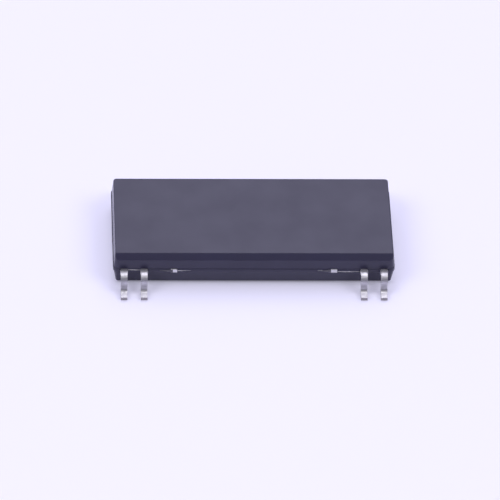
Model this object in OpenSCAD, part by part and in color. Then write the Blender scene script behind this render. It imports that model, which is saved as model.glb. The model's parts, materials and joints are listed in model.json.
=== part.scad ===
// Eight-lead isolating integrated circuit in a 28-position wide small-outline body.
// A split lead frame, two chips and their bond wires sit in one moulded body. The frame's input half
// and output half meet only in the two comb capacitors that carry the signal across the barrier.
// The origin is under the middle of the body, on the plane that the feet stand on. +X runs from
// lead 1 to lead 14, and +Z is up.

/* [Moulded body] */
// Length of the body beyond the middle of the outer leads, at its parting line
end_margin = 0.695; // [0.6:0.005:0.8]
// Width of the body at its parting line
body_w = 7.5; // [7.4:0.05:7.6]
// Thickness of the moulding above the lead frame
upper_t = 1.01; // [0.95:0.01:1.15]
// Thickness of the moulding below the lead frame
lower_t = 0.92; // [0.85:0.01:1.05]
// Gap between the underside of the body and the board
stand_off = 0.18; // [0.1:0.01:0.3]
// Radius of the upright corners at the parting line
corner_r = 0.35; // [0.3:0.01:0.5]
// Width of the ledge where the mould halves closed on the frame
ledge = 0.03; // [0.01:0.01:0.06]
// Draft of the walls above the frame, in degrees
upper_draft = 6; // [3:0.5:8]
// Draft of the walls below the frame, in degrees
lower_draft = 10; // [5:0.5:12]
// Width of the bevel along the top edge on the side of lead 1
bevel = 0.3; // [0.25:0.01:0.75]
// Diameter of the two ejector-pin marks in the underside
ejector_d = 1.2; // [0.8:0.1:1.8]
// Depth of the ejector-pin marks
ejector_depth = 0.04; // [0.02:0.01:0.08]
// Distance between the ejector-pin marks
ejector_span = 11; // [8:0.5:13]
// Width of the broken-off mould gate on the end by lead 1
gate_w = 1.4; // [0.8:0.1:2]
// Height of the broken-off mould gate
gate_h = 0.3; // [0.2:0.05:0.5]

/* [Leads] */
// Distance between neighbouring lead positions
pitch = 1.27; // [1.25:0.01:1.29]
// Width of a lead
lead_w = 0.42; // [0.33:0.01:0.51]
// Thickness of the lead frame
frame_t = 0.254; // [0.23:0.002:0.32]
// Overall width across the toes of the leads
span = 10.43; // [10.2:0.01:10.65]
// Length of the straight foot, from the lower bend to the toe
foot_l = 0.36; // [0.3:0.01:0.55]
// Slope of the foot down to the toe, in degrees
foot_angle = 7; // [0:0.5:8]
// Inside radius of the two bends
bend_r = 0.3; // [0.2:0.01:0.32]
// Lean of the shin away from upright, in degrees
shin_lean = 2; // [0:0.5:6]
// Length of the trimmed dam bar along a lead
dam_l = 0.18; // [0.12:0.01:0.25]
// How far the trimmed dam bar stands out on each side of a lead
dam_stub = 0.03; // [0.01:0.01:0.05]
// Distance from the body to the trimmed dam bar
dam_gap = 0.06; // [0.03:0.01:0.1]

/* [Lead frame inside the body] */
// Smallest gap between neighbouring pieces of the frame
frame_gap = 0.3; // [0.2:0.02:0.34]
// Moulding kept between the frame and the side walls
cover = 0.5; // [0.4:0.02:0.6]
// Length of each chip paddle, along the body
paddle_l = 4.2; // [3.6:0.1:4.4]
// Width of each chip paddle, across the body
paddle_w = 4.2; // [3.8:0.1:4.3]
// Width of the neck that joins a paddle to its ground lead
neck_w = 0.9; // [0.6:0.05:1.1]
// Distance from the middle of the body to the tips of leads 1 and 15
tip_at = 0.5; // [0.4:0.05:0.7]
// Diameter of the holes where moulding locks the leads in
lock_d = 0.3; // [0.2:0.02:0.36]
// Width of the tie bars and of the arms behind them
tie_w = 0.4; // [0.35:0.01:0.5]
// How far a trimmed tie bar stands out of the wall
tie_stub = 0.04; // [0.01:0.01:0.06]

/* [Comb capacitors] */
// Prongs on each plate
prongs = 2; // [1:1:2]
// Width of a prong
prong_w = 0.25; // [0.2:0.01:0.3]
// Moulding between the prongs of facing plates
prong_gap = 0.4; // [0.3:0.02:0.44]
// Distance between the spines of facing plates
spine_span = 3; // [2.4:0.1:3.2]
// Width of a spine
spine_w = 0.4; // [0.3:0.02:0.44]
// Gap between the front and the rear capacitor
pair_gap = 0.7; // [0.5:0.05:0.8]
// Length of the bond land on each spine
land_l = 0.5; // [0.4:0.02:0.54]
// Width of the bond land on each spine
land_w = 0.65; // [0.5:0.05:0.9]

/* [Chips and bond wires] */
// Length of a chip, along the body
chip_l = 2; // [1.6:0.1:2.6]
// Width of a chip, across the body
chip_w = 3; // [2.4:0.1:3.4]
// Thickness of a chip
chip_t = 0.35; // [0.25:0.01:0.38]
// Thickness of the glue under a chip
glue_t = 0.03; // [0.02:0.005:0.05]
// Glue squeezed out beyond each edge of a chip
glue_edge = 0.12; // [0.05:0.01:0.2]
// Distance from a chip's edge to the middle of its bond pads
pad_inset = 0.15; // [0.1:0.01:0.25]
// Diameter of a bond wire
wire_d = 0.034; // [0.026:0.002:0.05]
// Diameter of the ball at the start of a wire
ball_d = 0.09; // [0.07:0.005:0.12]
// Height of the ball
ball_h = 0.03; // [0.02:0.005:0.04]
// Straight rise of a wire above its ball
wire_rise = 0.1; // [0.06:0.01:0.14]
// Radius of a wire's loop over its ball
loop_r = 0.12; // [0.08:0.01:0.15]
// Length of the flat stitch at the end of a wire
stitch_l = 0.1; // [0.08:0.01:0.16]

/* [Hidden] */
$fn = 48;

// Lead positions along each side, of which the outer two at each end hold leads
positions = 14;
// Lead pitches from the middle of the body to each tie bar
tie_pitches = 4;

// Levels above the board
frame_z = stand_off + lower_t;
frame_top = frame_z + frame_t;
body_top = frame_top + upper_t;
chip_z = frame_top + glue_t;
pad_z = chip_z + chip_t;

// Distances from the middle of the body along X
outer_x = (positions - 1) / 2 * pitch;
inner_x = outer_x - pitch;
tie_x = tie_pitches * pitch;
body_l = 2 * (outer_x + end_margin);
paddle_out = tie_x + paddle_l / 2;
spade_in = max(paddle_out, inner_x + lead_w / 2) + frame_gap;
spine_in = spine_span / 2;
spine_out = spine_in + spine_w;

// Distances from the middle of the body along Y
wall_y = body_w / 2;
frame_y = wall_y - cover;
paddle_y = paddle_w / 2;
neck_y = tip_at + frame_gap;
prong_pitch = prong_w + prong_gap;
comb_half = (2 * prongs - 1) / 2 * prong_pitch + prong_w / 2;
comb_y = pair_gap / 2 + comb_half;

// Formed part of a lead: the two bends lie on opposite sides of the shin, and the toe ends at z = 0
bend_turn = 90 - shin_lean;
foot_turn = bend_turn - foot_angle;
bend_shift = 2 * bend_r + frame_t;
foot_drop = (bend_r + frame_t) * cos(foot_angle) + foot_l * sin(foot_angle);
foot_reach = foot_l * cos(foot_angle) - bend_r * sin(foot_angle);
shin_l = (frame_z - bend_r + bend_shift * cos(bend_turn) - foot_drop) / sin(bend_turn);
shoulder_end = span / 2 - foot_reach - bend_shift * sin(bend_turn) - shin_l * cos(bend_turn);

// Where each input wire starts on the chip and ends on the frame
chip_out = tie_x + chip_l / 2 - pad_inset;
chip_in = tie_x - chip_l / 2 + pad_inset;
chip_y = chip_w / 2 - pad_inset;
outer_bond = [-(outer_x + lead_w / 2 + spade_in) / 2, tip_at + neck_w / 2];
inner_bond = [-(inner_x + tie_x) / 2, (paddle_y + frame_gap + frame_y) / 2];
land_bond = [-spine_out - land_l / 2, (pair_gap + land_w) / 2];

MOULDING = [0.17, 0.165, 0.21];
TINNED = "silver";
FRAME_METAL = "darkgray";
SILICON = "slategray";
GLUE = "lightgray";
GOLD = "gold";

// Extra length of a cutting tool or an outline past the faces that it crosses
past = 1;

// How far a drafted wall leans in over its height, to the nearest micrometre
function lean_of(h, draft) = round(1000 * h * tan(draft)) / 1000;

// ---- Moulded body ----

// Block with drafted walls and cone-shaped corners, standing on z = 0
module drafted(l, w, r, h, draft) {
    lean = lean_of(h, draft);
    rotate([90, 0, 0])
        linear_extrude(w - 2 * r, center = true)
            polygon([[-l / 2, 0], [l / 2, 0], [l / 2 - lean, h], [lean - l / 2, h]]);
    rotate([90, 0, 90])
        linear_extrude(l - 2 * r, center = true)
            polygon([[-w / 2, 0], [w / 2, 0], [w / 2 - lean, h], [lean - w / 2, h]]);
    for (corner = [[1, 1, 0], [-1, 1, 90], [-1, -1, 180], [1, -1, 270]])
        translate([corner[0] * (l / 2 - r), corner[1] * (w / 2 - r), 0])
            rotate(corner[2])
                rotate_extrude(angle = 90)
                    polygon([[0, 0], [r, 0], [r - lean, h], [0, h]]);
}

// Half of the moulding on one side of the frame, inside the ledge
module mould_half(h, draft)
    drafted(body_l - 2 * ledge, body_w - 2 * ledge, corner_r - ledge, h, draft);

// Tool that cuts the bevel along the top front edge
module bevel_cut() {
    edge_y = -wall_y + ledge + lean_of(upper_t, upper_draft);
    rotate([90, 0, 90])
        linear_extrude(body_l + past, center = true)
            polygon([
                [edge_y + bevel + past, body_top + past],
                [edge_y - past, body_top - bevel - past],
                [edge_y - past, body_top + past],
            ]);
}

module moulding() {
    difference() {
        translate([0, 0, frame_top]) mould_half(upper_t, upper_draft);
        bevel_cut();
    }
    translate([0, 0, frame_z]) drafted(body_l, body_w, corner_r, frame_t, 0);
    difference() {
        translate([0, 0, frame_z]) mirror([0, 0, 1]) mould_half(lower_t, lower_draft);
        for (side = [-1, 1])
            translate([side * ejector_span / 2, 0, stand_off - past])
                cylinder(h = past + ejector_depth, d = ejector_d);
    }
    translate([-body_l / 2, -gate_w / 2, frame_z - gate_h])
        cube([cover, gate_w, gate_h]);
}

module mould_body() {
    color(MOULDING)
    difference() {
        moulding();
        for (turn = [0, 180])
            rotate(turn) {
                for (n = [1, 2, 27, 28]) {
                    lead(n);
                    lead_wire(n);
                }
                for (row = ["front", "rear"]) {
                    plate(row);
                    plate_wire(row);
                }
                glue();
                chip();
            }
    }
}

// ---- Lead frame ----

// Mirrors what is drawn for the rear row to the front row when that is asked for
module in_row(row) {
    if (row == "front") mirror([0, 1, 0]) children();
    else children();
}

// Rectangle between two corners
module bar(x0, x1, y0, y1)
    translate([x0, y0]) square([x1 - x0, y1 - y0]);

// Piece of a ring between two angles less than half a turn apart
module ring_part(from, to) {
    outer = bend_r + frame_t;
    middle = (from + to) / 2;
    intersection() {
        difference() {
            circle(outer);
            circle(bend_r);
        }
        polygon([
            [0, 0],
            2 * outer * [cos(from), sin(from)],
            2 * outer * [cos(middle), sin(middle)],
            2 * outer * [cos(to), sin(to)],
        ]);
    }
}

// Side view of a formed lead and its paddle: the top is y = 0, and x = 0 is the middle of the body
module lead_side() {
    bar(-paddle_y, shoulder_end, -frame_t, 0);
    translate([shoulder_end, -frame_t - bend_r]) {
        ring_part(90 - bend_turn, 90);
        rotate(-bend_turn) {
            bar(0, shin_l, bend_r, bend_r + frame_t);
            translate([shin_l, bend_shift]) {
                ring_part(270, 270 + foot_turn);
                rotate(foot_turn) bar(0, foot_l, -bend_r - frame_t, -bend_r);
            }
        }
    }
}

// Plan of the part of a rear lead that is alike on every lead, with its trimmed dam bar
module lead_outside_plan(x) {
    bar(x - lead_w / 2, x + lead_w / 2, frame_y, span / 2 + past);
    bar(x - lead_w / 2 - dam_stub, x + lead_w / 2 + dam_stub, wall_y + dam_gap, wall_y + dam_gap + dam_l);
}

// Plan of an outer lead, from its tip to its toe
module outer_lead_plan(tip_y) {
    lead_outside_plan(-outer_x);
    difference() {
        bar(-outer_x - lead_w / 2, -spade_in, tip_y, frame_y);
        translate([-(outer_x + lead_w / 2 + spade_in) / 2, frame_y - lock_d]) circle(d = lock_d);
    }
}

// Plan of an inner lead, whose spade lies between the paddle and the wall
module inner_lead_plan() {
    lead_outside_plan(-inner_x);
    difference() {
        bar(-inner_x - lead_w / 2, -tie_x - tie_w / 2 - frame_gap, paddle_y + frame_gap, frame_y);
        translate([-inner_x, (paddle_y + frame_gap + frame_y) / 2]) circle(d = lock_d);
    }
}

// Plan of a ground lead, which carries the paddle on a neck
module ground_lead_plan() {
    outer_lead_plan(neck_y);
    bar(-outer_x - lead_w / 2, -tie_x, neck_y, neck_y + neck_w);
    bar(-paddle_out, paddle_l / 2 - tie_x, -paddle_y, paddle_y);
}

// Input lead, by its number: 1 and 2 at the front, 27 and 28 at the rear
module lead(n) {
    color(TINNED)
    in_row(n < positions ? "front" : "rear")
        intersection() {
            translate([0, 0, frame_top])
                rotate([90, 0, 90])
                    linear_extrude(body_l, center = true)
                        lead_side();
            translate([0, 0, -past])
                linear_extrude(frame_top + 2 * past) {
                    if (n == 1) outer_lead_plan(tip_at);
                    else if (n == 28) ground_lead_plan();
                    else inner_lead_plan();
                }
        }
}

// Input plate of one comb capacitor, with the arm and the tie bar that held it while it was moulded
module plate(row) {
    side = row == "front" ? -1 : 1;
    color(FRAME_METAL)
    translate([0, 0, frame_z])
        linear_extrude(frame_t) {
            in_row(row) {
                bar(-tie_x - tie_w / 2, -tie_x + tie_w / 2, frame_y - tie_w, wall_y + tie_stub);
                bar(-tie_x - tie_w / 2, -spine_in, frame_y - tie_w, frame_y);
                bar(-spine_out, -spine_in, pair_gap / 2, frame_y);
                bar(-spine_out - land_l, -spine_in, pair_gap / 2, pair_gap / 2 + land_w);
            }
            for (i = [0 : prongs - 1])
                translate([-spine_in, side * comb_y + (2 * i + 0.5 - prongs) * prong_pitch - prong_w / 2])
                    square([spine_span - prong_gap, prong_w]);
        }
}

// ---- Chips and bond wires ----

module glue()
    color(GLUE)
    translate([-tie_x, 0, frame_top + glue_t / 2])
        cube([chip_l + 2 * glue_edge, chip_w + 2 * glue_edge, glue_t], center = true);

module chip()
    color(SILICON)
    translate([-tie_x, 0, chip_z + chip_t / 2])
        cube([chip_l, chip_w, chip_t], center = true);

// Bond wire from a pad on the chip to a place on the frame, both given in plan
module bond_wire(from, to) {
    run = norm(to - from);
    rise_z = pad_z + ball_h + wire_rise;
    drop = rise_z - frame_top - wire_d / 2;
    slant = norm([run - loop_r, drop]);
    fall = atan2(drop, run - loop_r) + asin(loop_r / slant);
    color(GOLD)
    translate([from[0], from[1], 0])
        rotate(atan2(to[1] - from[1], to[0] - from[0])) {
            translate([0, 0, pad_z]) cylinder(h = ball_h, d = ball_d);
            translate([0, 0, pad_z]) cylinder(h = ball_h + wire_rise, d = wire_d);
            translate([loop_r, 0, rise_z])
                rotate([90, 0, 0])
                    rotate([0, 0, 90 - fall]) {
                        rotate_extrude(angle = 90 + fall)
                            translate([loop_r, 0]) circle(d = wire_d);
                        translate([loop_r, 0, 0])
                            rotate([90, 0, 0])
                                cylinder(h = sqrt(slant * slant - loop_r * loop_r), d = wire_d);
                    }
            translate([run - wire_d, -wire_d, frame_top])
                cube([stitch_l, 2 * wire_d, wire_d * 0.6]);
        }
}

// Wire to an input lead, by the lead's number
module lead_wire(n)
    in_row(n < positions ? "front" : "rear") {
        if (n == 1 || n == 28) bond_wire([-chip_out, outer_bond[1]], outer_bond);
        else bond_wire([-chip_out, chip_y], inner_bond);
    }

// Wire to an input plate
module plate_wire(row)
    in_row(row) bond_wire([-chip_in, land_bond[1]], land_bond);

// ---- The part ----

mould_body();

for (n = [1, 2, 27, 28]) {
    twin = n < positions ? n + positions : n - positions;
    lead(n);
    rotate(180) lead(n);
    lead_wire(n);
    rotate(180) lead_wire(n);
}

for (rows = [["front", "rear"], ["rear", "front"]]) {
    plate(rows[0]);
    rotate(180) plate(rows[0]);
    plate_wire(rows[0]);
    rotate(180) plate_wire(rows[0]);
}

glue();  // input_glue
rotate(180) glue();  // output_glue
chip();  // input_chip
rotate(180) chip();  // output_chip
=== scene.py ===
"""Looks of an eight-lead small-outline chip: its moulded body, plated leads and sealed lead frame.

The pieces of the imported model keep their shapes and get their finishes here. The only new pieces
are the smeared metal and torn flash along the parting line, which are too thin for the model.
"""
import json
import logging
import math
from collections.abc import Callable
from dataclasses import dataclass
from enum import Enum

import bmesh
import bpy
from mathutils import Matrix, Vector


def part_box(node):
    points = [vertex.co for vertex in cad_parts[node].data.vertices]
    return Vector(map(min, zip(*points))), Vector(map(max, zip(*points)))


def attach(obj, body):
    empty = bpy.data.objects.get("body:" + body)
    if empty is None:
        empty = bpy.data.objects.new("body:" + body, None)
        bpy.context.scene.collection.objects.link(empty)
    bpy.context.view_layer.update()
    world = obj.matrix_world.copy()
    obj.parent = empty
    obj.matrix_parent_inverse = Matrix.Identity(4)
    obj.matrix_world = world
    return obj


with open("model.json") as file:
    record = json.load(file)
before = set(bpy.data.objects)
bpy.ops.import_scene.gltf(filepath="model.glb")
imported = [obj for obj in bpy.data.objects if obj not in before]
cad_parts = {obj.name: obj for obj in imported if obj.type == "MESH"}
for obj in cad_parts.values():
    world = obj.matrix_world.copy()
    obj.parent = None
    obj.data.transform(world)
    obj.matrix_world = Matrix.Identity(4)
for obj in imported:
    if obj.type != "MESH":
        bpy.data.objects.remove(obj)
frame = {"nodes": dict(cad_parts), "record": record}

MM = 0.001
MICRON = 0.000001
BODY = "root"
LOG = logging.getLogger("chip")

Colour = tuple[float, float, float]
Span = tuple[float, float]
Socket = bpy.types.NodeSocket
EdgeTest = Callable[[bmesh.types.BMEdge], bool]


class Slot(Enum):
    """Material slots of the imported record."""

    MOULDING = "mould_compound"
    LEAD = "tinned_lead"
    FRAME = "bare_frame"
    GLUE = "chip_glue"
    SILICON = "silicon"
    WIRE = "gold_wire"


# ---- Shader building ----


def rgba(colour: Colour) -> tuple[float, float, float, float]:
    """Gives an opaque colour for a shader socket."""
    return (*colour, 1.0)


class Nodes:
    """Short calls that add nodes to one node tree."""

    def __init__(self, tree: bpy.types.NodeTree) -> None:
        """Keeps the tree that new nodes go into."""
        self.tree = tree

    def add(
        self, kind: str, sockets: dict[str | int, object] | None = None, **settings: object,
    ) -> bpy.types.Node:
        """Adds a node, with its settings, socket values and links.

        Args:
            kind: The node's type name.
            sockets: Values by input name or number; an output socket given there is linked.
            settings: Attributes of the node itself, which are set first.

        Returns:
            The new node.
        """
        node = self.tree.nodes.new(kind)
        for name, value in settings.items():
            setattr(node, name, value)
        for key, value in (sockets or {}).items():
            self.feed(node.inputs[key], value)
        return node

    def feed(self, target: Socket, value: object) -> None:
        """Fills an input socket.

        Args:
            target: The input.
            value: An output socket, which is linked, or the input's own value.
        """
        if isinstance(value, Socket):
            self.tree.links.new(value, target)
        else:
            target.default_value = value

    def math(self, operation: str, *values: object) -> Socket:
        """Adds a Math node and gives its output."""
        return self.add("ShaderNodeMath", dict(enumerate(values)), operation=operation).outputs[0]

    def dot(self, first: object, second: object) -> Socket:
        """Gives the dot product of two vectors."""
        sockets = {0: first, 1: second}
        return self.add("ShaderNodeVectorMath", sockets, operation="DOT_PRODUCT").outputs["Value"]

    def ramp(self, value: Socket, source: Span, target: Span = (0.0, 1.0)) -> Socket:
        """Maps a value from one span to another, and holds it at their ends.

        Args:
            value: The value.
            source: The span that it comes in.
            target: The span that it leaves in.

        Returns:
            The mapped value.
        """
        sockets = {"Value": value, "From Min": source[0], "From Max": source[1],
                   "To Min": target[0], "To Max": target[1]}
        return self.add("ShaderNodeMapRange", sockets).outputs["Result"]

    def mix_values(self, factor: Socket, first: object, second: object) -> Socket:
        """Mixes two numbers; the Mix node's inputs share names, so they go by number."""
        return self.add("ShaderNodeMix", {0: factor, 2: first, 3: second}).outputs[0]

    def mix_colours(self, factor: Socket, first: object, second: object) -> Socket:
        """Mixes two colours; the Mix node's inputs share names, so they go by number."""
        sockets = {0: factor, 6: first, 7: second}
        return self.add("ShaderNodeMix", sockets, data_type="RGBA").outputs[2]


class Effects:
    """Shader node groups that several finishes share.

    `USED_NOISE` is the part of the noise's range that grain and mottling spread over 0 to 1.
    """

    FLOAT = "NodeSocketFloat"
    VECTOR = "NodeSocketVector"
    USED_NOISE = (0.3, 0.7)
    GRAIN_DETAIL = 2.0
    MOTTLE_DETAIL = 3.0

    def __init__(self) -> None:
        """Builds each group once."""
        self.grain = self._grain()
        self.edge = self._edge()
        self.cut_end = self._cut_end()

    @staticmethod
    def _group(
        name: str, inputs: dict[str, str], outputs: dict[str, str],
    ) -> tuple[Nodes, bpy.types.NodeOutputs, bpy.types.NodeInputs]:
        """Starts a node group with named sockets.

        Args:
            name: The group's name.
            inputs: Socket types by input name.
            outputs: Socket types by output name.

        Returns:
            The group's nodes, then the sockets inside it that give its inputs and take its
            outputs, by name.
        """
        tree = bpy.data.node_groups.new(name, "ShaderNodeTree")
        for direction, sockets in (("INPUT", inputs), ("OUTPUT", outputs)):
            for socket, kind in sockets.items():
                tree.interface.new_socket(socket, in_out=direction, socket_type=kind)
        nodes = Nodes(tree)
        return nodes, nodes.add("NodeGroupInput").outputs, nodes.add("NodeGroupOutput").inputs

    def _grain(self) -> bpy.types.NodeTree:
        """Builds a fine grain and a wide soft mottling.

        Returns:
            The group, whose two outputs run from 0 to 1.
        """
        inputs = {"Position": self.VECTOR, "Grain Size": self.FLOAT, "Mottle Size": self.FLOAT}
        outputs = {"Grain": self.FLOAT, "Mottle": self.FLOAT}
        nodes, source, target = self._group("grain_and_mottle", inputs, outputs)
        for output, detail in (("Grain", self.GRAIN_DETAIL), ("Mottle", self.MOTTLE_DETAIL)):
            scale = nodes.math("DIVIDE", 1.0, source[f"{output} Size"])
            sockets = {"Vector": source["Position"], "Scale": scale, "Detail": detail}
            noise = nodes.add("ShaderNodeTexNoise", sockets).outputs[0]
            nodes.feed(target[output], nodes.ramp(noise, self.USED_NOISE))
        return nodes.tree

    def _edge(self) -> bpy.types.NodeTree:
        """Builds a mask of the edges, where a rounded normal leans away from the true one.

        Returns:
            The group, whose output reaches 1 where the normals' dot product is 1 less the lean.
        """
        inputs = {"Rounded Normal": self.VECTOR, "True Normal": self.VECTOR, "Lean": self.FLOAT}
        nodes, source, target = self._group("edge_mask", inputs, {"Edge": self.FLOAT})
        along = nodes.dot(source["Rounded Normal"], source["True Normal"])
        share = nodes.math("DIVIDE", nodes.math("SUBTRACT", 1.0, along), source["Lean"])
        nodes.feed(target["Edge"], nodes.ramp(share, (0.0, 1.0)))
        return nodes.tree

    def _cut_end(self) -> bpy.types.NodeTree:
        """Builds a mask of the sheared ends, which lie in two planes that lean by a slope.

        Returns:
            The group, whose output is 1 at the reach from the part's middle, measured square to
            the planes, and 0 from one depth further in.
        """
        inputs = dict.fromkeys(("Reach", "Slope", "Depth"), self.FLOAT)
        nodes, source, target = self._group(
            "cut_end_mask", {"Position": self.VECTOR, **inputs}, {"Cut": self.FLOAT}
        )
        place = nodes.add("ShaderNodeSeparateXYZ", {0: source["Position"]}).outputs
        away = nodes.math("ABSOLUTE", place["Y"])
        out = nodes.math("MULTIPLY", away, nodes.math("COSINE", source["Slope"]))
        down = nodes.math("MULTIPLY", place["Z"], nodes.math("SINE", source["Slope"]))
        inside = nodes.math("SUBTRACT", source["Reach"], nodes.math("SUBTRACT", out, down))
        cut = nodes.math("SUBTRACT", 1.0, nodes.math("DIVIDE", inside, source["Depth"]))
        nodes.feed(target["Cut"], nodes.ramp(cut, (0.0, 1.0)))
        return nodes.tree


# ---- Finishes ----


@dataclass(frozen=True)
class Surface:
    """A material being built, with the values that a finish may change it by."""

    material: bpy.types.Material
    nodes: Nodes
    position: Socket
    true_normal: Socket
    grain: Socket
    edge: Socket
    colour: Socket
    roughness: Socket

    def set(self, **inputs: object) -> None:
        """Fills inputs of the material's shader.

        Args:
            inputs: Output sockets or values by input name, with _ for each space.
        """
        shader = self.material.node_tree.nodes["Principled BSDF"]
        for name, value in inputs.items():
            self.nodes.feed(shader.inputs[name.replace("_", " ")], value)


@dataclass(frozen=True)
class Finish:
    """What all finishes share: grain, soft mottling and rounded edges. Sizes are in metres."""

    name: str
    colour: Colour
    shade: Colour
    roughness: Span
    metallic: float = 0.0
    grain_size: float = 40 * MICRON
    grain_depth: float = 1.0 * MICRON
    mottle_size: float = 2 * MM
    edge_radius: float = 30 * MICRON
    edge_lean: float = 0.3
    edge_samples: int = 6

    def surface(self, effects: Effects) -> Surface:
        """Builds the part of the material that all finishes share.

        Args:
            effects: The shared node groups.

        Returns:
            The surface, mottled between the two colours and the two roughnesses.
        """
        material = bpy.data.materials.new(self.name)
        material.use_nodes = True
        nodes = Nodes(material.node_tree)
        position = nodes.add("ShaderNodeTexCoord").outputs["Object"]
        true_normal = nodes.add("ShaderNodeNewGeometry").outputs["True Normal"]
        radius = {"Radius": self.edge_radius}
        rounded = nodes.add("ShaderNodeBevel", radius, samples=self.edge_samples).outputs[0]
        sizes = {"Grain Size": self.grain_size, "Mottle Size": self.mottle_size}
        sockets = {"Position": position, **sizes}
        noise = nodes.add("ShaderNodeGroup", sockets, node_tree=effects.grain)
        grain, mottle = noise.outputs["Grain"], noise.outputs["Mottle"]
        normals = {"Rounded Normal": rounded, "True Normal": true_normal, "Lean": self.edge_lean}
        edge = nodes.add("ShaderNodeGroup", normals, node_tree=effects.edge).outputs["Edge"]
        bump = {"Height": grain, "Normal": rounded, "Distance": self.grain_depth, "Strength": 1.0}
        colour = nodes.mix_colours(mottle, rgba(self.shade), rgba(self.colour))
        roughness = nodes.ramp(mottle, (0.0, 1.0), self.roughness)
        surface = Surface(material, nodes, position, true_normal, grain, edge, colour, roughness)
        surface.set(
            Base_Color=colour,
            Roughness=roughness,
            Metallic=self.metallic,
            Normal=nodes.add("ShaderNodeBump", bump).outputs[0],
        )
        return surface

    def material(self, effects: Effects) -> bpy.types.Material:
        """Builds the whole material; a finish of its own kind adds to it."""
        return self.surface(effects).material


@dataclass(frozen=True)
class Moulding(Finish):
    """Black epoxy with the grain of a spark-eroded mould, smoother on the walls that slid out.

    A face is a wall while its normal rises less than `wall_rise`, and level above `level_rise`.
    """

    edge_colour: Colour = (0.062, 0.060, 0.098)
    wall_roughness: float = 0.22
    wall_rise: float = 0.2
    level_rise: float = 0.6
    specular: float = 0.42

    def material(self, effects: Effects) -> bpy.types.Material:
        """Adds the rubbed edges and the smooth walls to the shared surface.

        Args:
            effects: The shared node groups.

        Returns:
            The material.
        """
        surface = self.surface(effects)
        nodes = surface.nodes
        rubbed = nodes.math("MULTIPLY", surface.edge, surface.grain)
        normal = nodes.add("ShaderNodeSeparateXYZ", {0: surface.true_normal}).outputs
        level = nodes.ramp(nodes.math("ABSOLUTE", normal["Z"]), (self.wall_rise, self.level_rise))
        surface.set(
            Base_Color=nodes.mix_colours(rubbed, surface.colour, rgba(self.edge_colour)),
            Roughness=nodes.mix_values(level, self.wall_roughness, surface.roughness),
            Specular_IOR_Level=self.specular,
        )
        return surface.material


@dataclass(frozen=True)
class Plating(Finish):
    """Satin plating over stamped metal, whose sheared ends show the bare dull metal.

    The ends lie in two planes that lean by `cut_slope`, at `cut_reach` from the part's middle.
    """

    cut_colour: Colour = (0.40, 0.38, 0.38)
    cut_roughness: float = 0.55
    cut_reach: float = 5.1454 * MM
    cut_slope: float = math.radians(7)
    cut_depth: float = 6 * MICRON

    def material(self, effects: Effects) -> bpy.types.Material:
        """Adds the sheared ends to the shared surface.

        Args:
            effects: The shared node groups.

        Returns:
            The material.
        """
        surface = self.surface(effects)
        nodes = surface.nodes
        plane = {"Reach": self.cut_reach, "Slope": self.cut_slope, "Depth": self.cut_depth}
        sockets = {"Position": surface.position, **plane}
        cut = nodes.add("ShaderNodeGroup", sockets, node_tree=effects.cut_end).outputs["Cut"]
        surface.set(
            Base_Color=nodes.mix_colours(cut, surface.colour, rgba(self.cut_colour)),
            Roughness=nodes.mix_values(cut, surface.roughness, self.cut_roughness),
        )
        return surface.material


FINISHES: dict[Slot, Finish] = {
    Slot.MOULDING: Moulding(
        "black_moulding",
        colour=(0.031, 0.029, 0.060), shade=(0.027, 0.025, 0.053), roughness=(0.43, 0.37),
        edge_radius=90 * MICRON,
    ),
    Slot.LEAD: Plating(
        "satin_tin",
        colour=(0.61, 0.60, 0.62), shade=(0.52, 0.51, 0.53), roughness=(0.50, 0.42), metallic=1.0,
        grain_size=25 * MICRON, mottle_size=0.25 * MM,
    ),
    Slot.FRAME: Finish(
        "nickel_iron",
        colour=(0.74, 0.73, 0.74), shade=(0.60, 0.59, 0.60), roughness=(0.40, 0.30), metallic=1.0,
        grain_size=30 * MICRON, mottle_size=0.2 * MM, edge_radius=110 * MICRON,
    ),
    Slot.GLUE: Finish(
        "silver_glue",
        colour=(0.62, 0.61, 0.60), shade=(0.45, 0.44, 0.43), roughness=(0.60, 0.45), metallic=0.6,
        grain_size=30 * MICRON, grain_depth=4 * MICRON, mottle_size=0.15 * MM,
    ),
    Slot.SILICON: Finish(
        "polished_silicon",
        colour=(0.20, 0.22, 0.27), shade=(0.14, 0.15, 0.20), roughness=(0.16, 0.10), metallic=0.7,
        mottle_size=0.4 * MM, edge_radius=8 * MICRON,
    ),
    Slot.WIRE: Finish(
        "drawn_gold",
        colour=(1.0, 0.76, 0.34), shade=(0.92, 0.66, 0.27), roughness=(0.26, 0.18), metallic=1.0,
        grain_size=8 * MICRON, grain_depth=0.3 * MICRON, mottle_size=0.1 * MM,
        edge_radius=3 * MICRON,
    ),
}

# Torn flash along the parting line: paler than the moulding, partly the torn resin's own paler tone
# and partly a painted highlight for the light that the flash catches.
TORN_FLASH_AND_HIGHLIGHT = Finish(
    "torn_flash_and_painted_highlight",
    colour=(0.115, 0.112, 0.135), shade=(0.075, 0.073, 0.092), roughness=(0.60, 0.50),
    grain_size=20 * MICRON, grain_depth=3 * MICRON, mottle_size=0.15 * MM,
)


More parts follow.
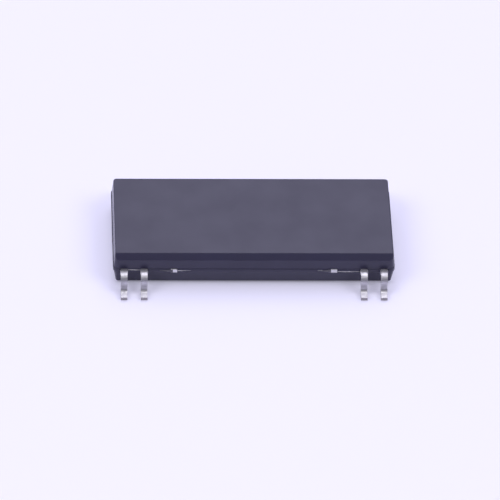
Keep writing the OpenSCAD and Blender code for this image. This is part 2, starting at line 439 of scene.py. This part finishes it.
class Workshop:
    """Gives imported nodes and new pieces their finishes, and builds each material once."""

    def __init__(self, effects: Effects) -> None:
        """Keeps the node groups that the materials share."""
        self.effects = effects
        self.materials: dict[str, bpy.types.Material] = {}

    def material(self, finish: Finish) -> bpy.types.Material:
        """Gives a finish's material, which is built at its first use.

        Args:
            finish: The finish.

        Returns:
            The one material of that finish.
        """
        if finish.name not in self.materials:
            self.materials[finish.name] = finish.material(self.effects)
        return self.materials[finish.name]

    def dress_node(self, node: str, slot: Slot) -> None:
        """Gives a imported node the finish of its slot.

        Args:
            node: The node's name.
            slot: Its material slot.
        """
        mesh = frame["nodes"][node].data
        mesh.materials.clear()
        mesh.materials.append(self.material(FINISHES[slot]))
        LOG.info("dressed %s in %s", node, slot.value)

    def dress_piece(self, piece: bpy.types.Object, finish: Finish) -> None:
        """Gives a new piece its finish, and fixes it to the body.

        Args:
            piece: The new piece.
            finish: Its finish, which may differ from the slot's own.
        """
        piece.data.materials.append(self.material(finish))
        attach(piece, BODY)
        LOG.info("built %s in %s", piece.name, finish.name)


# ---- Parting line ----


class Taper(Enum):
    """Ways in which a sliver thins along its length."""

    LEFT = "thins towards its left end"
    RIGHT = "thins towards its right end"
    BOTH = "thins a little towards both ends"


@dataclass(frozen=True)
class Profile:
    """How thick a sliver is along its length, as shares of its full section.

    The ripple makes `ripple_turn` radians over the length.
    """

    taper: Taper
    thin_end: float = 0.15
    thin_curve: float = 1.4
    both_ends: float = 0.7
    ripple: float = 0.1
    ripple_turn: float = 23.0

    def share(self, place: float) -> float:
        """Gives the share of the full section at one place.

        Args:
            place: From 0 at the left end to 1 at the right end.

        Returns:
            The share: a taper or an arch with a small ripple on it.
        """
        arch = math.sin(math.pi * place)
        ripple = self.ripple * math.sin(self.ripple_turn * place) * arch
        if self.taper is Taper.BOTH:
            return self.both_ends + (1 - self.both_ends) * arch + ripple
        from_thin_end = place if self.taper is Taper.LEFT else 1 - place
        return self.thin_end + (1 - self.thin_end) * from_thin_end ** self.thin_curve + ripple


@dataclass(frozen=True)
class Sliver:
    """Thin strip of flash or smeared metal that lies along X on a wall. Lengths are in metres.

    The middle of its height runs along `level`, and it stands out from `wall` by its depth.
    """

    name: str
    slot: Slot
    finish: Finish
    start: float
    end: float
    wall: float
    level: float
    height: float
    depth: float
    profile: Profile
    cuts: int = 9
    rounding: float = 0.3
    rounding_steps: int = 3
    rounded_angle: float = math.radians(50)
    smooth_angle: float = math.radians(40)

    def build(self) -> bpy.types.Object:
        """Models the sliver from a block, as a row of sections that swell and thin.

        Returns:
            The sliver, with its long edges rounded.
        """
        piece = self._block()
        length = self.end - self.start
        near = length / (4 * self.cuts)
        bpy.ops.object.mode_set(mode="EDIT")
        self._select(piece, self._longer_than(length / 2))
        bpy.ops.mesh.subdivide(number_cuts=self.cuts)
        for i in range(self.cuts + 2):
            place = i / (self.cuts + 1)
            x = self.start + place * length
            self._select(piece, self._near(x, near))
            share = self.profile.share(place)
            centre = (x, self.wall, self.level)
            bpy.ops.transform.resize(value=(1.0, share, share), center_override=centre)
        bpy.ops.object.mode_set(mode="OBJECT")
        self._round(piece)
        return piece

    def _block(self) -> bpy.types.Object:
        """Adds the block that the sliver is shaped from.

        Returns:
            The block, with its place in its mesh.
        """
        out = math.copysign(self.depth, self.wall)
        centre = Vector(((self.start + self.end) / 2, self.wall + out / 2, self.level))
        size = (self.end - self.start, self.depth, self.height)
        bpy.ops.object.select_all(action="DESELECT")
        bpy.ops.mesh.primitive_cube_add(size=1.0, location=centre, scale=size)
        piece = bpy.context.object
        piece.name = piece.data.name = self.name
        bpy.ops.object.transform_apply(location=True, rotation=True, scale=True)
        return piece

    @staticmethod
    def _longer_than(length: float) -> EdgeTest:
        """Gives a test for the edges that run further than a length along X."""
        return lambda edge: abs(edge.verts[0].co.x - edge.verts[1].co.x) > length

    @staticmethod
    def _near(x: float, distance: float) -> EdgeTest:
        """Gives a test for the edges whose ends both lie within a distance of one X."""
        return lambda edge: all(abs(vert.co.x - x) < distance for vert in edge.verts)

    @staticmethod
    def _select(piece: bpy.types.Object, wanted: EdgeTest) -> None:
        """Selects some edges of the piece that is being edited, and no others.

        Args:
            piece: The piece, in edit mode.
            wanted: The test that holds for the edges to select.
        """
        bpy.ops.mesh.select_all(action="DESELECT")
        mesh = bmesh.from_edit_mesh(piece.data)
        mesh.select_mode = {"EDGE"}
        for edge in mesh.edges:
            edge.select_set(wanted(edge))
        mesh.select_flush_mode()
        bmesh.update_edit_mesh(piece.data)

    def _round(self, piece: bpy.types.Object) -> None:
        """Rounds the long edges by a share of the section's smaller side.

        Args:
            piece: The shaped sliver, in object mode.
        """
        bevel = piece.modifiers.new("rounding", "BEVEL")
        bevel.width = self.rounding * min(self.depth, self.height)
        bevel.segments = self.rounding_steps
        bevel.limit_method, bevel.angle_limit = "ANGLE", self.rounded_angle
        bpy.ops.object.modifier_apply(modifier=bevel.name)
        bpy.ops.object.shade_smooth_by_angle(angle=self.smooth_angle)


def turned_copy(piece: bpy.types.Object, name: str) -> bpy.types.Object:
    """Copies a piece to the opposite side of the body, half a turn about the upright axis.

    Args:
        piece: The piece to copy.
        name: The copy's name.

    Returns:
        The copy, with its own mesh.
    """
    bpy.ops.object.select_all(action="DESELECT")
    piece.select_set(True)
    bpy.context.view_layer.objects.active = piece
    bpy.ops.object.duplicate(linked=False)
    copy = bpy.context.object
    copy.name = copy.data.name = name
    bpy.ops.object.mode_set(mode="EDIT")
    bpy.ops.mesh.select_all(action="SELECT")
    bpy.ops.transform.rotate(value=math.pi, orient_axis="Z", center_override=(0.0, 0.0, 0.0))
    bpy.ops.object.mode_set(mode="OBJECT")
    return copy


@dataclass(frozen=True)
class PartingLine:
    """What trimming leaves along the parting line: smeared metal and torn flash, in metres."""

    smear_height: float = 0.05 * MM
    smear_depth: float = 0.03 * MM
    smear_length: float = 0.85 * MM
    flash_height: float = 0.25 * MM
    flash_depth: float = 0.05 * MM
    flash_length: float = 0.85 * MM
    flash_overlap: float = 0.12 * MM

    @staticmethod
    def wall() -> float:
        """Gives the Y of the front wall at the parting line."""
        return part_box("mould_body")[0].y

    @staticmethod
    def frame_levels() -> Span:
        """Gives the lowest and highest Z of the lead frame."""
        low, high = (corner.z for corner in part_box("input_plate_front"))
        return low, high

    def span_at_wall(self, node: str) -> Span:
        """Measures a node where it stands out of the front wall.

        Args:
            node: The node's name.

        Returns:
            Its lowest and highest X there.
        """
        wall = self.wall()
        mesh = frame["nodes"][node].data
        along = [vert.co.x for vert in mesh.vertices if vert.co.y < wall - MICRON]
        return min(along), max(along)

    def smear(self, name: str, start: float, end: float, rise: float, taper: Taper) -> Sliver:
        """Describes one smear of metal.

        Args:
            name: What the smear is called.
            start: The X of its left end.
            end: The X of its right end.
            rise: Its height on the frame's cut, from 0 at the bottom to 1 at the top.
            taper: How it thins.

        Returns:
            The smear.
        """
        low, high = self.frame_levels()
        return Sliver(
            name, Slot.FRAME, FINISHES[Slot.FRAME], start, end,
            wall=self.wall(), level=low + rise * (high - low),
            height=self.smear_height, depth=self.smear_depth, profile=Profile(taper),
        )

    def flash(self, name: str, end: float) -> Sliver:
        """Describes one torn edge of flash to the left of a tie bar.

        Args:
            name: What the flash is called.
            end: The X of its right end.

        Returns:
            The flash.
        """
        # The flash's finish is paler than the moulding: partly torn resin, partly a painted
        # highlight.
        return Sliver(
            name, Slot.MOULDING, TORN_FLASH_AND_HIGHLIGHT, end - self.flash_length, end,
            wall=self.wall(), level=sum(self.frame_levels()) / 2,
            height=self.flash_height, depth=self.flash_depth, profile=Profile(Taper.LEFT),
        )

    def slivers(self) -> list[Sliver]:
        """Lists the slivers of the front side.

        Returns:
            Four smears and two flashes.
        """
        outer_end = self.span_at_wall("lead_1")[1]
        inner_start = self.span_at_wall("lead_2")[0]
        far_start = self.span_at_wall("lead_13")[0]
        near_tie = self.span_at_wall("input_plate_front")
        far_tie = self.span_at_wall("output_plate_front")
        near_end, far_end = near_tie[1] + self.smear_length, far_tie[0] - self.smear_length
        return [
            self.smear("smear_between_leads", outer_end, inner_start, rise=0.8, taper=Taper.BOTH),
            self.smear("smear_after_near_tie", near_tie[1], near_end, rise=0.55, taper=Taper.RIGHT),
            self.smear("smear_before_far_tie", far_end, far_tie[0], rise=0.65, taper=Taper.LEFT),
            self.smear("smear_after_far_tie", far_tie[1], far_start, rise=0.3, taper=Taper.BOTH),
            self.flash("flash_before_near_tie", near_tie[0] + self.flash_overlap),
            self.flash("flash_before_far_tie", far_tie[0]),
        ]

    def build(self, workshop: Workshop) -> None:
        """Models and dresses the slivers of both sides.

        Args:
            workshop: Where the pieces get their finishes.
        """
        for sliver in self.slivers():
            front = sliver.build()
            rear = turned_copy(front, f"{sliver.name}_rear")
            front.name = front.data.name = f"{sliver.name}_front"
            workshop.dress_piece(front, sliver.finish)
            workshop.dress_piece(rear, sliver.finish)


# ---- Studio ----


@dataclass(frozen=True)
class Lamp:
    """Square soft lamp that faces the chip. Place and size are in metres, power in watts."""

    name: str
    place: tuple[float, float, float]
    size: float
    power: float

    def hang(self) -> None:
        """Adds the lamp and turns it to the chip."""
        bpy.ops.object.light_add(type="AREA", location=self.place)
        lamp = bpy.context.object
        lamp.name = self.name
        lamp.data.size = self.size
        lamp.data.energy = self.power
        lamp.rotation_euler = (-Vector(self.place)).to_track_quat("-Z", "Y").to_euler()


@dataclass(frozen=True)
class Studio:
    """Pale floor, soft lamps, and a sky with a bright panel behind the chip. Sizes are in metres.

    `dark_spread`, around the camera, and `panel_spread` hold the cosines of the angles at which
    each begins and is full. The panel's middle lies `panel_rise` above the direction that a level
    face mirrors to the camera. The backdrop gives way to the sky between the heights of `horizon`.
    """

    floor_size: float = 3.0
    floor_colour: Colour = (0.845, 0.83, 1.0)
    floor_roughness: float = 0.9
    backdrop_colour: Colour = (0.85, 0.833, 1.0)
    backdrop_share: float = 0.26
    sky: Colour = (0.28, 0.268, 0.45)
    sky_dark: Colour = (0.10, 0.098, 0.125)
    dark_spread: Span = (0.58, 0.90)
    panel: Colour = (2.72, 2.68, 3.08)
    panel_spread: Span = (0.86, 0.97)
    panel_rise: float = 0.35
    horizon: Span = (0.04, 0.08)
    lamps: tuple[Lamp, ...] = (
        Lamp("top_lamp", place=(-0.02, 0.10, 0.90), size=0.35, power=1.0),
        Lamp("left_lamp", place=(-0.55, -0.20, 0.72), size=0.5, power=2.75),
        Lamp("right_lamp", place=(0.55, -0.20, 0.72), size=0.5, power=2.75),
    )

    def floor(self) -> None:
        """Lays the floor that the chip stands on."""
        bpy.ops.object.select_all(action="DESELECT")
        bpy.ops.mesh.primitive_plane_add(size=self.floor_size, location=(0, 0, 0))
        floor = bpy.context.object
        floor.name = "floor"
        floor.data.materials.append(self.floor_material())

    def floor_material(self) -> bpy.types.Material:
        """Builds the floor's material, part of which glows by itself where it is seen directly.

        Returns:
            The material.
        """
        material = bpy.data.materials.new("pale_floor")
        material.use_nodes = True
        nodes = Nodes(material.node_tree)
        shader = material.node_tree.nodes["Principled BSDF"]
        nodes.feed(shader.inputs["Base Color"], rgba(self.floor_colour))
        nodes.feed(shader.inputs["Roughness"], self.floor_roughness)
        nodes.feed(shader.inputs["Specular IOR Level"], 0.0)
        rays = nodes.add("ShaderNodeLightPath").outputs
        seen = nodes.math("MAXIMUM", rays["Is Camera Ray"], rays["Is Glossy Ray"])
        seen = nodes.math("MAXIMUM", seen, rays["Is Transmission Ray"])
        share = nodes.math("MULTIPLY", seen, self.backdrop_share)
        emission = {"Color": rgba(self.backdrop_colour), "Strength": 1.0}
        glow = nodes.add("ShaderNodeEmission", emission).outputs[0]
        layers = {0: share, 1: shader.outputs[0], 2: glow}
        mixed = nodes.add("ShaderNodeMixShader", layers).outputs[0]
        nodes.feed(material.node_tree.nodes["Material Output"].inputs["Surface"], mixed)
        return material

    def light(self, toward_camera: Vector) -> None:
        """Sets the sky and the lamps.

        Args:
            toward_camera: Direction from the chip to the camera.
        """
        world = bpy.data.worlds.new("studio_sky")
        bpy.context.scene.world = world
        world.use_nodes = True
        nodes = Nodes(world.node_tree)
        direction = nodes.add("ShaderNodeTexCoord").outputs["Generated"]
        toward_panel = Vector((
            -toward_camera.x, -toward_camera.y, toward_camera.z + self.panel_rise
        )).normalized()
        around_camera = nodes.ramp(nodes.dot(direction, toward_camera), self.dark_spread)
        around_panel = nodes.ramp(nodes.dot(direction, toward_panel), self.panel_spread)
        rise = nodes.add("ShaderNodeSeparateXYZ", {0: direction}).outputs["Z"]
        colour = nodes.mix_colours(around_camera, rgba(self.sky), rgba(self.sky_dark))
        colour = nodes.mix_colours(around_panel, colour, rgba(self.panel))
        above = nodes.ramp(rise, self.horizon)
        colour = nodes.mix_colours(above, rgba(self.backdrop_colour), colour)
        nodes.feed(world.node_tree.nodes["Background"].inputs["Color"], colour)
        for lamp in self.lamps:
            lamp.hang()


@dataclass(frozen=True)
class Viewpoint:
    """Where the camera stands and how it is turned. Angles are in degrees, lengths in metres."""

    heading: float = 3.948
    elevation: float = 43.19
    roll: float = 2.792
    distance: float = 391.23 * MM
    aim: tuple[float, float, float] = (-0.105 * MM, -0.530 * MM, 0.0)
    lens: float = 440.5
    nearest: float = 10 * MM

    def axes(self) -> tuple[Vector, Vector, Vector]:
        """Works out how the camera is turned.

        Returns:
            Its right, up and backward directions.
        """
        heading, tilt, roll = (math.radians(a) for a in (self.heading, self.elevation, self.roll))
        forward = Vector((
            math.sin(heading) * math.cos(tilt), math.cos(heading) * math.cos(tilt), -math.sin(tilt)
        ))
        right = forward.cross(Vector((0, 0, 1))).normalized()
        up = right.cross(forward)
        return (
            math.cos(roll) * right + math.sin(roll) * up,
            math.cos(roll) * up - math.sin(roll) * right,
            -forward,
        )

    def place_camera(self) -> None:
        """Makes the scene's camera."""
        right, up, back = self.axes()
        data = bpy.data.cameras.new("camera")
        data.lens = self.lens
        data.clip_start = self.nearest
        camera = bpy.data.objects.new("camera", data)
        bpy.context.scene.collection.objects.link(camera)
        turn = Matrix((right, up, back)).transposed().to_4x4()
        camera.matrix_world = Matrix.Translation(Vector(self.aim) + self.distance * back) @ turn
        bpy.context.scene.camera = camera


def main() -> None:
    """Builds the looks in order and reports each piece."""
    logging.basicConfig(level=logging.INFO, format="%(name)s: %(message)s")
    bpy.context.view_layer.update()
    bpy.context.scene.view_settings.view_transform = "Standard"
    viewpoint = Viewpoint()
    viewpoint.place_camera()
    workshop = Workshop(Effects())
    for entry in frame["record"]["subparts"]:
        workshop.dress_node(entry["node"], Slot(entry["material_slot"]))
    PartingLine().build(workshop)
    studio = Studio()
    studio.floor()
    studio.light(viewpoint.axes()[2])


if __name__ == "__main__":
    main()
